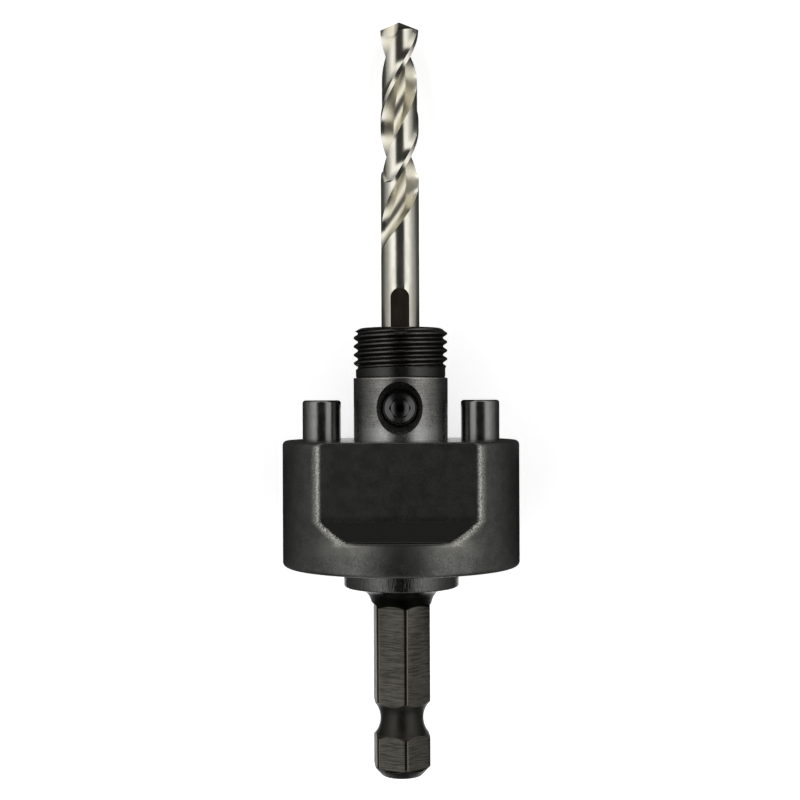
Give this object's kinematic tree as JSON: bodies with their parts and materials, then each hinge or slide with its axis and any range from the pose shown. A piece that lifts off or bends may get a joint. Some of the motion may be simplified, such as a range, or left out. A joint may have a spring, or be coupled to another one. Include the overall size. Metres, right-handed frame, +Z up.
{
  "type": "hole saw arbor",
  "caption": "Hex shank arbor that carries and drives a large hole saw: threaded nose, sliding drive collar with pins, pilot drill held by a set screw.",
  "frame": {"origin": "on the table, below the middle of the arbor's box as it lies at rest", "axes": "+Z up from the table; the arbor's axis lies in the YZ plane, its drill towards +Y and dipping 11.39 degrees; its set screw faces up"},
  "size_m": [0.0392, 0.1234, 0.0394],
  "materials": {
    "blackened_steel": "turned and milled steel, blackened and oiled",
    "blackened_collar": "grainy blackened steel, worn bright on its edges",
    "polished_black_steel": "smooth black steel",
    "ground_tool_steel": "ground and polished bright tool steel",
    "spring_steel": "plain bright steel"
  },
  "bodies": {
    "mandrel": {"mandrel": "blackened_steel", "friction_ball": "spring_steel", "ball_spring": "spring_steel"},
    "collar": {"drive_collar": "blackened_collar", "drive_pin_left": "polished_black_steel", "drive_pin_right": "polished_black_steel"},
    "pilot": {"pilot_drill": "ground_tool_steel"},
    "screw": {"set_screw": "polished_black_steel"}
  },
  "joints": [
    {"name": "collar_slide", "type": "slide", "parent": "mandrel", "child": "collar", "axis": [0, 0.9803, -0.1975], "range_m": [0, 0.01025]},
    {"name": "pilot_slide", "type": "slide", "parent": "mandrel", "child": "pilot", "axis": [0, 0.9803, -0.1975], "range_m": [0, 0.015]},
    {"name": "screw_travel", "type": "slide", "parent": "mandrel", "child": "screw", "axis": [0, 0.1975, 0.9803], "range_m": [0, 0.0014]}
  ]
}
